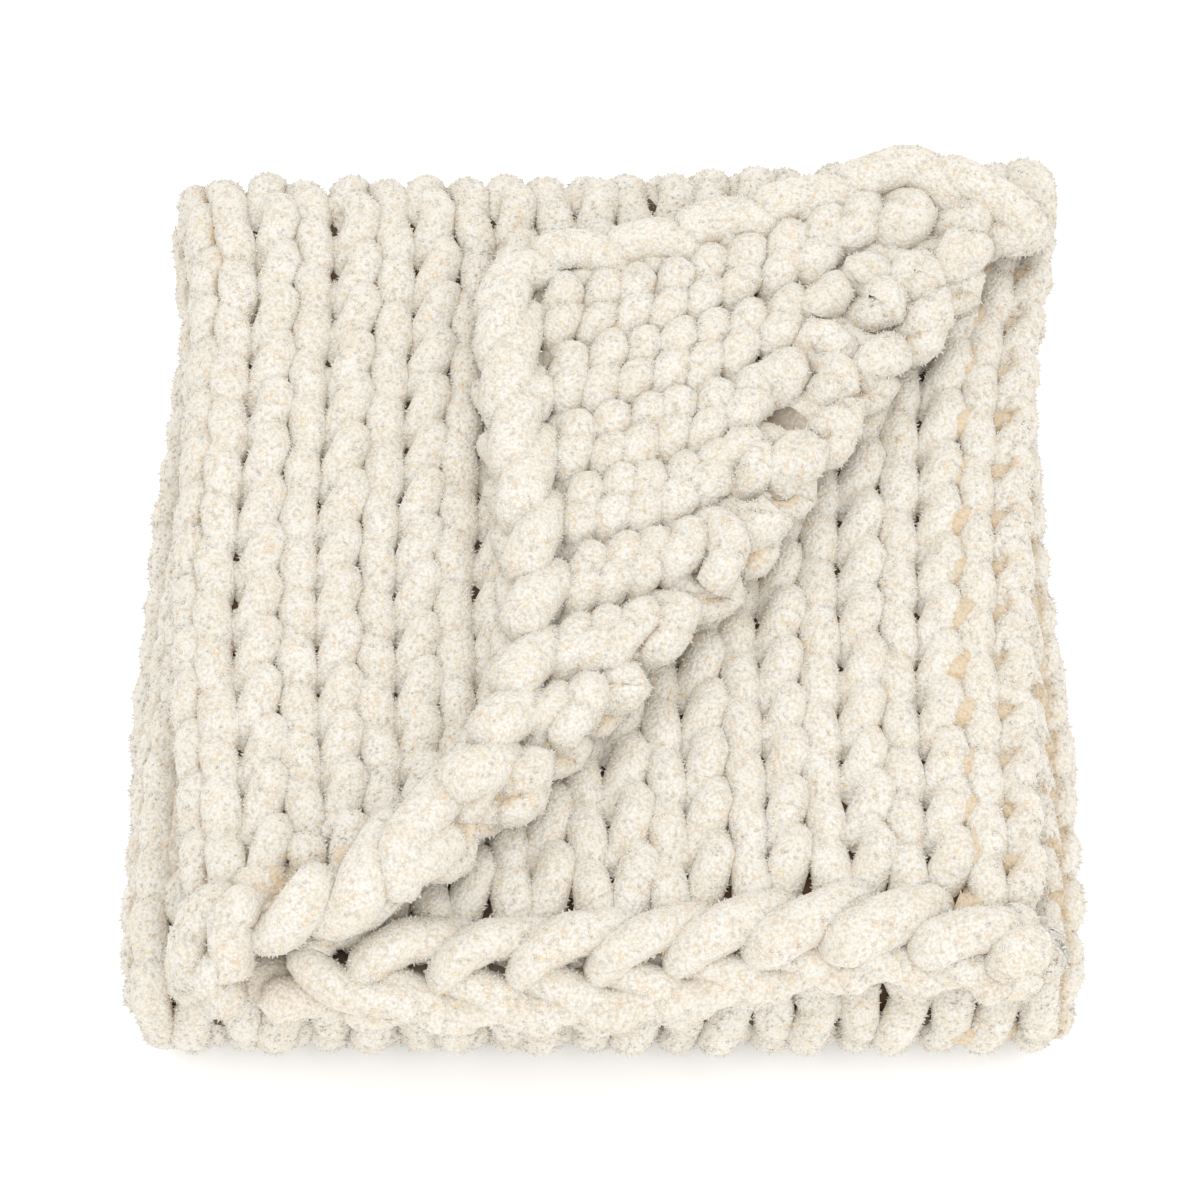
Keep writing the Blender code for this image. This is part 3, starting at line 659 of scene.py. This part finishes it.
def tuft_places(laid, cells, density):
    """Chance places on the showing skin: point, outward direction, direction along the yarn, depth (the
    strength of the painted shade).

    Each face gets its area times the density, rounded by chance. Places inside a strand are left out.
    """
    places, same, line = laid["places"], laid["same"], laid["line"]
    i = np.flatnonzero(same)
    s = np.arange(SECTORS)
    a, b = places[i][:, s], places[i][:, (s + 1) % SECTORS]
    d, c = places[i + 1][:, s], places[i + 1][:, (s + 1) % SECTORS]
    normal = np.cross(c - a, d - b)
    area = np.linalg.norm(normal, axis=2) / 2
    u, v = np.clip(line[i, 0], 0, U_END), line[i, 1]
    side = 1 - 2 * purl_shows(u, v)
    faces = side[:, None] * np.sin(laid["angle"] + np.pi / SECTORS)[None, :]
    edge = (u < NEAR_EDGE) | (v < NEAR_EDGE) | (v > V_END - NEAR_CAST_ON)
    shown = (faces > BARE_BELOW) | edge[:, None]
    expected = (area * density * shown).ravel()
    number = np.floor(expected + rng.random(len(expected))).astype(int)
    pick = np.repeat(np.arange(len(expected)), number)
    deep = laid["deep"][i].ravel()[pick]
    a, b, c, d, n = (q.reshape(-1, 3)[pick] for q in (a, b, c, d, normal))
    f, g = rng.random((2, len(pick), 1))
    point = (a * (1 - f) + b * f) * (1 - g) + (d * (1 - f) + c * f) * g
    n /= np.maximum(np.linalg.norm(n, axis=1), 1e-12)[:, None]
    way = d - a
    way /= np.maximum(np.linalg.norm(way, axis=1), 1e-9)[:, None]
    at = np.round((point + n * OFF_CORE - cells["low"]) / cells["cell"]).astype(int)
    at = np.clip(at, 0, np.array(cells["cells"].shape) - 1)
    free = ~cells["cells"][at[:, 0], at[:, 1], at[:, 2]]
    free &= point[:, 2] > OFF_FLOOR
    return point[free], n[free], way[free], deep[free]


def tuft_piece(name, point, out, way, deep):
    """Short pile: a small closed spike of four faces at each place, leaning a chance way.

    The three foot points stand on a circle below the skin, the tip is out along the leaning
    direction. The shares from foot to tip and of the depth colour the pile with painted shade, at
    its root and where the yarn turns under.
    """
    count = len(point)
    side = np.cross(out, way)
    turn = rng.uniform(0, 2 * np.pi, count)
    radius = rng.uniform(*TUFT_RADIUS, count)
    lean = rng.normal(0, TUFT_LEAN, (2, count))
    tip_way = out + way * lean[0][:, None] + side * lean[1][:, None]
    tip_way /= np.linalg.norm(tip_way, axis=1)[:, None]
    long = rng.uniform(*TUFT_LONG, count)
    feet = [point - out * TUFT_SUNK + radius[:, None] * (way * np.cos(turn + k)[:, None]
            + side * np.sin(turn + k)[:, None]) for k in (0, 2 * np.pi / 3, 4 * np.pi / 3)]
    points = np.stack(feet + [point + tip_way * long[:, None]], axis=1).reshape(-1, 3)
    points[:, 2] = np.maximum(points[:, 2], 0.0002)
    base = np.arange(count)[:, None, None] * 4
    faces = np.array([[1, 0, 3], [2, 1, 3], [0, 2, 3], [0, 1, 2]])
    corners = (base + faces).ravel()
    starts = np.arange(count * 4) * 3
    across_cells = int(np.ceil(np.sqrt(count)))
    cell = np.stack([np.arange(count) % across_cells, np.arange(count) // across_cells], axis=1)
    flat = np.array([[0.15, 0.1], [0.85, 0.1], [0.5, 0.9]])
    flat_all = np.stack([flat, flat, flat, flat])
    uv = (cell[:, None, None, :] + flat_all[None]) / across_cells
    shares = {"tip": np.tile([0.0, 0.0, 0.0, 1.0], count), "deep": np.repeat(deep, 4)}
    return new_piece(name, points, corners, starts, uv.reshape(-1, 2), shares)


def base_cloth():
    """The body of the cloth under its loops: two faces over a grid of u and v, and a rim.

    Each face lies at full thickness where layers press on each other, and sinks below the loops
    where they show.
    """
    def spaced(start, end, step):
        """Even places about a step apart, from the start up to but without the end."""
        return np.linspace(start, end, max(2, int(round((end - start) / step)) + 1))[:-1]

    u_end, v_end = U_END - EDGE_COVER, V_END - 1.5 * EDGE_COVER
    u = np.concatenate([spaced(EDGE_COVER, u_end, FULL_CELLS[0]), [u_end]])
    v = np.concatenate([spaced(EDGE_COVER, V_SECOND + 0.03, FULL_CELLS[1]),
                        spaced(V_SECOND + 0.03, V_FRONT - 0.05, SPARE_CELLS[0]),
                        spaced(V_FRONT - 0.05, V_LOWER + 0.05, FULL_CELLS[1]),
                        spaced(V_LOWER + 0.05, v_end, SPARE_CELLS[1]), [v_end]])
    uu, vv = np.meshgrid(u, v, indexing="ij")
    past = past_turn_line(uu, vv)
    at = drawn_back(uu, vv)
    top = 1.0 - eased((at - V_SECOND) / SHOW_FADE)
    top = top * np.where(at < V_BACK, 1.0 - eased(past / 0.02), 1.0)
    lowest = eased((vv - V_FRONT + SHOW_FADE) / SHOW_FADE) * (1.0 - eased((vv - V_LOWER) / SHOW_FADE))
    middle = np.where(vv < V_BACK, eased((past + 0.04) / 0.03), 0.0)
    open_knit = np.select([uu < U_LEFT, uu < U_LOWEST, uu < U_RIGHT, uu < U_MIDDLE],
                          [top, 1.0, lowest, 1.0], middle)
    hem = np.clip(1.0 - vv / HEM, 0.0, 1.0) + np.clip(1.0 - (V_END - vv) / 0.03, 0.0, 1.0)
    open_knit = np.maximum(open_knit, np.clip(3 * hem, 0, 1))
    open_knit = np.maximum(open_knit, np.clip(2.0 - uu / 0.03, 0, 1))
    open_purl = purl_shows(uu, vv)
    open_knit = open_knit * (1.0 - open_purl)
    knit = THICK / 2 * (1 - open_knit) - KNIT_SUNK * open_knit
    clear = eased((past - CLEAR_FROM) / CLEAR_EASE)
    purl = -THICK / 2 * (1 - open_purl) + (PURL_SUNK + PURL_SUNK_MORE * clear) * open_purl
    purl = np.minimum(purl, knit - THINNEST)
    knit = np.maximum(knit, purl + THINNEST)
    both = [carried(uu, vv, lift).reshape(-1, 3) for lift in (knit, purl)]
    points = np.concatenate(both)
    points[:, 2] = np.maximum(points[:, 2], 0.0)
    nu, nv = uu.shape
    grid = np.arange(nu * nv).reshape(nu, nv)
    a, b, c, d = grid[:-1, :-1], grid[1:, :-1], grid[1:, 1:], grid[:-1, 1:]
    upper = np.stack([a, d, c, b], axis=2).reshape(-1, 4)
    lower = np.stack([a, b, c, d], axis=2).reshape(-1, 4) + nu * nv
    loop = np.concatenate([grid[:-1, 0], grid[-1, :-1], grid[:0:-1, -1], grid[0, :0:-1]])
    ahead = np.roll(loop, -1)
    rim = np.stack([loop, ahead, ahead + nu * nv, loop + nu * nv], axis=1)
    quads = np.concatenate([upper, lower, rim])
    # Painted shade: the share of dark brown for each point, where the cloth shows under the loops, away
    # from its edges
    inner = eased((np.minimum(vv, V_END - vv) - 0.010) / 0.012) * eased((uu - 0.012) / 0.012)
    shown = np.concatenate([(open_knit * inner).ravel(), (open_purl * inner * clear).ravel()])
    uv_all = np.stack([np.concatenate([uu.ravel() / U_END * 0.48, 0.52 + uu.ravel() / U_END * 0.47]),
                       np.concatenate([vv.ravel() / V_END, vv.ravel() / V_END]) * 0.96], axis=1)
    uv = uv_all[quads].copy()
    edge = np.arange(len(rim)) / len(rim)
    edge_next = edge + 1 / len(rim)
    low, high = np.full_like(edge, 0.970), np.full_like(edge, 0.995)
    pairs = (edge, low), (edge_next, low), (edge_next, high), (edge, high)
    uv[-len(rim):] = np.stack([np.stack(pair, 1) for pair in pairs], axis=1)
    return new_piece("blanket_cloth", points, quads.ravel(), np.arange(len(quads)) * 4,
                     uv.reshape(-1, 2), {"opened": shown})


def linear(code):
    """An sRGB hex colour as linear light, with the standard two-part curve."""
    c = np.array([int(code[i:i + 2], 16) for i in (1, 3, 5)]) / 255
    c = np.where(c <= 0.04045, c / 12.92, ((c + 0.055) / 1.055) ** 2.4)
    return (*c.tolist(), 1.0)


def add(tree, kind, settings=None, **inputs):
    """Adds a node, applies its settings, and links or fills its inputs by name."""
    node = tree.nodes.new(kind)
    for key, value in (settings or {}).items():
        setattr(node, key, value)
    for key, value in inputs.items():
        socket = node.inputs[int(key[1:])] if key[0] == "i" and key[1:].isdigit() else node.inputs[key]
        if isinstance(value, bpy.types.NodeSocket):
            tree.links.new(value, socket)
        else:
            socket.default_value = value
    return node


def ramp(tree, factor, stops):
    """A colour ramp with stops of (place, sRGB hex)."""
    node = add(tree, "ShaderNodeValToRGB", i0=factor)
    while len(node.color_ramp.elements) < len(stops):
        node.color_ramp.elements.new(0.5)
    for element, (place, code) in zip(node.color_ramp.elements, stops):
        element.position = place
        element.color = linear(code)
    return node


def mixed(tree, factor, first, second, blend="MIX"):
    """The colour that lies by the factor from the first to the second, or to their product."""
    node = add(tree, "ShaderNodeMix", {"data_type": "RGBA", "blend_type": blend},
               i0=factor, i6=first, i7=second)
    return node.outputs[2]


def point_share(tree, name):
    """The value of a point attribute of the mesh."""
    return add(tree, "ShaderNodeAttribute", {"attribute_name": name}).outputs["Fac"]


def new_material(name):
    """A new node material: itself, its node tree and its shader."""
    material = bpy.data.materials.new(name)
    material.use_nodes = True
    return material, material.node_tree, material.node_tree.nodes["Principled BSDF"]


def with_painted_shade(tree, colour, shader):
    """Puts a colour into the shader, times a warm painted shade that grows with the depth of the place."""
    shade = ramp(tree, point_share(tree, "deep"), [(0.0, "#FFFFFF"), (1.0, "#F3E5D1")]).outputs["Color"]
    tree.links.new(mixed(tree, 1.0, colour, shade, "MULTIPLY"), shader.inputs["Base Color"])


def chenille_yarn():
    """Chenille yarn: short soft fibres stand out from a twisted core, in clumps about 2 mm wide.

    Seen close, pale clumps with painted shade between them, warmer at their edges and in warm lines, no
    gloss and a faint pale sheen.
    """
    material, tree, shader = new_material("Cream chenille yarn")
    place = add(tree, "ShaderNodeTexCoord").outputs["Object"]
    # Scales are in cells for each metre: clumps of 1.9 mm, fibre ends of 0.7 mm, drift over 18 mm
    clumps = add(tree, "ShaderNodeTexVoronoi", {"feature": "F1"}, Vector=place, Scale=520.0)
    fine = add(tree, "ShaderNodeTexNoise", Vector=place, Scale=1500.0, Detail=2.0)
    drift = add(tree, "ShaderNodeTexNoise", Vector=place, Scale=55.0, Detail=2.0)
    # Painted shade: each clump is pale in its middle and darker and warmer towards its edge
    tone = ramp(tree, clumps.outputs["Distance"],
                [(0.10, "#E0DDD7"), (0.50, "#DBD7CF"), (0.90, "#CCC2B2")])
    shade = ramp(tree, drift.outputs["Fac"], [(0.35, "#FAF8F4"), (0.65, "#FFFFFF")])
    shaded = mixed(tree, 1.0, tone.outputs["Color"], shade.outputs["Color"], "MULTIPLY")
    # Painted shade: warm lines between tufts of 2.3 mm, in patches of 6 mm
    cracks = add(tree, "ShaderNodeTexVoronoi", {"feature": "DISTANCE_TO_EDGE"}, Vector=place, Scale=430.0)
    lines = ramp(tree, cracks.outputs["Distance"], [(0.02, "#FFFFFF"), (0.12, "#000000")])
    patches = add(tree, "ShaderNodeTexNoise", Vector=place, Scale=170.0, Detail=1.0)
    where = ramp(tree, patches.outputs["Fac"], [(0.50, "#000000"), (0.68, "#FFFFFF")])
    painted_gap_shade = add(tree, "ShaderNodeMath", {"operation": "MULTIPLY"},
                 i0=lines.outputs["Color"], i1=where.outputs["Color"])
    with_painted_shade(tree, mixed(tree, painted_gap_shade.outputs[0], shaded, linear("#D0BB9C")), shader)
    # Relief of about 1 mm: the clumps stand up and the fibre ends roughen them
    height = add(tree, "ShaderNodeMath", {"operation": "MULTIPLY_ADD"},
                 i0=fine.outputs["Fac"], i1=0.45, i2=clumps.outputs["Distance"])
    bump = add(tree, "ShaderNodeBump", {"invert": True}, Height=height.outputs[0],
               Strength=0.70, Distance=0.0011)
    tree.links.new(bump.outputs["Normal"], shader.inputs["Normal"])
    finish(shader)
    return material


def chenille_pile():
    """The standing fibre ends of the chenille, cut pile 1 to 3 mm long.

    Seen close, pale at the tip and warm at the root in the yarn's tone, a painted shade at the root.
    """
    material, tree, shader = new_material("Cream chenille pile")
    # Painted shade: the pile is darker and warmer at its root than at its tip
    tone = ramp(tree, point_share(tree, "tip"), [(0.0, "#C9BDA9"), (0.40, "#DAD5CC"), (1.0, "#E2E0DB")])
    with_painted_shade(tree, tone.outputs["Color"], shader)
    finish(shader)
    return material


def inner_cloth():
    """The pressed cloth under the loops: the same yarn, knitted close and flattened by the stack.

    Seen close, cream on its edges, and a painted shade of dark warm brown in the depth of the open
    stitches.
    """
    material, tree, shader = new_material("Cream chenille, pressed")
    place = add(tree, "ShaderNodeTexCoord").outputs["Object"]
    # Scale in cells for each metre: clumps of 2.1 mm
    clumps = add(tree, "ShaderNodeTexVoronoi", {"feature": "F1"}, Vector=place, Scale=480.0)
    tone = ramp(tree, clumps.outputs["Distance"], [(0.1, "#DCD6CB"), (0.8, "#BDB09B")])
    # Painted shade: where the cloth shows between the loops it turns dark warm brown, for the shaded depth
    # of the stitches
    colour = mixed(tree, point_share(tree, "opened"), tone.outputs["Color"], linear("#4C3826"))
    tree.links.new(colour, shader.inputs["Base Color"])
    finish(shader)
    return material


def finish(shader):
    """Soft matt fibre: full roughness, a pale sheen off the fibre ends and no sharp highlight."""
    shader.inputs["Roughness"].default_value = 0.95
    shader.inputs["IOR"].default_value = 1.45
    shader.inputs["Specular IOR Level"].default_value = 0.15
    shader.inputs["Sheen Weight"].default_value = 0.35
    shader.inputs["Sheen Roughness"].default_value = 0.6
    shader.inputs["Sheen Tint"].default_value = linear("#FFF8EC")


def plain_material(name, code, roughness):
    """A matt material of one tone, for the floor."""
    material, tree, shader = new_material(name)
    shader.inputs["Base Color"].default_value = linear(code)
    shader.inputs["Roughness"].default_value = roughness
    return material


def studio():
    """A pale floor, a wide soft light above and behind, a weak one in front, and a camera at 60 degrees."""
    bpy.ops.mesh.primitive_plane_add(size=12)
    floor = bpy.context.object
    floor.name = "floor"
    floor.data.materials.append(plain_material("Pale floor", "#FFFFFF", 0.9))
    world = bpy.data.worlds.new("Studio")
    world.use_nodes = True
    world.node_tree.nodes["Background"].inputs["Color"].default_value = (1.0, 1.0, 1.0, 1.0)
    world.node_tree.nodes["Background"].inputs["Strength"].default_value = 1.20
    bpy.context.scene.world = world
    target = Vector(np.array([0.0, 0.0, CAMERA_AIM]) - SHIFT)
    for name, spot, size, power in (
            ("overhead", (-0.35, 0.25, 2.2), 2.6, 14.0), ("front", (0.9, -1.8, 1.4), 2.2, 13.0)):
        lamp = bpy.data.lights.new(name, "AREA")
        lamp.size = size
        lamp.energy = power
        light = bpy.data.objects.new(name, lamp)
        light.location = spot
        light.rotation_euler = (target - Vector(spot)).to_track_quat("-Z", "Y").to_euler()
        bpy.context.collection.objects.link(light)
    lens = bpy.data.cameras.new("camera")
    lens.sensor_width = 36.0
    lens.lens = CAMERA_LENS
    camera = bpy.data.objects.new("camera", lens)
    tilt = np.radians(CAMERA_ANGLE)
    camera.location = target + CAMERA_AWAY * Vector((0.0, -np.cos(tilt), np.sin(tilt)))
    camera.rotation_euler = (target - camera.location).to_track_quat("-Z", "Y").to_euler()
    bpy.context.collection.objects.link(camera)
    bpy.context.scene.camera = camera
    bpy.context.scene.view_settings.view_transform = "Standard"


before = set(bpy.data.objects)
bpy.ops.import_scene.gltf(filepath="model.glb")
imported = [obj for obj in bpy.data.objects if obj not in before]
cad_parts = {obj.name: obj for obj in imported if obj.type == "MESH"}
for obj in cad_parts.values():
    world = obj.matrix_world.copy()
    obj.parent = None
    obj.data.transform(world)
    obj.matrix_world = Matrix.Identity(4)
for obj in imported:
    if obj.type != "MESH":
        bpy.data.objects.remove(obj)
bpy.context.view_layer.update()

cloth = base_cloth()
cloth.data.materials.append(inner_cloth())
yarn, pile = chenille_yarn(), chenille_pile()

rows = fabric_rows()
laid = {
    "stitches_upper": rounds([s for s in rows if s[1][0] < V_BACK]),
    "stitches_lower": rounds([s for s in rows if s[1][0] >= V_BACK]),
    "hem_braid": rounds(hem_links(), EDGE_SHADE),
    "side_rope": rounds(side_rope(), EDGE_SHADE),
    "lower_edge": rounds(lower_edge(), EDGE_SHADE),
}
pieces = []
for name, rings in laid.items():
    piece = yarn_piece(name, rings)
    piece.data.materials.append(yarn)
    pieces.append(piece)

cells = filled_cells(list(laid.values()))
density = TUFT_DENSITY
found = [tuft_places(rings, cells, density) for rings in laid.values()]
point, out, way, deep = (np.concatenate([f[i] for f in found]) for i in range(4))
if len(point) > MOST_TUFTS:
    kept = np.sort(rng.permutation(len(point))[:MOST_TUFTS])
    point, out, way, deep = point[kept], out[kept], way[kept], deep[kept]
order = np.argsort(point[:, 1], kind="stable")
point, out, way, deep = point[order], out[order], way[order], deep[order]
parts = max(1, int(np.ceil(len(point) / TUFTS_A_PIECE)))
for n, chosen in enumerate(np.array_split(np.arange(len(point)), parts)):
    piece = tuft_piece("pile_%d" % (n + 1), point[chosen], out[chosen], way[chosen], deep[chosen])
    piece.data.materials.append(pile)
    pieces.append(piece)

for piece in [cloth] + pieces:
    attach(piece, "root")
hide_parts("blanket")

studio()
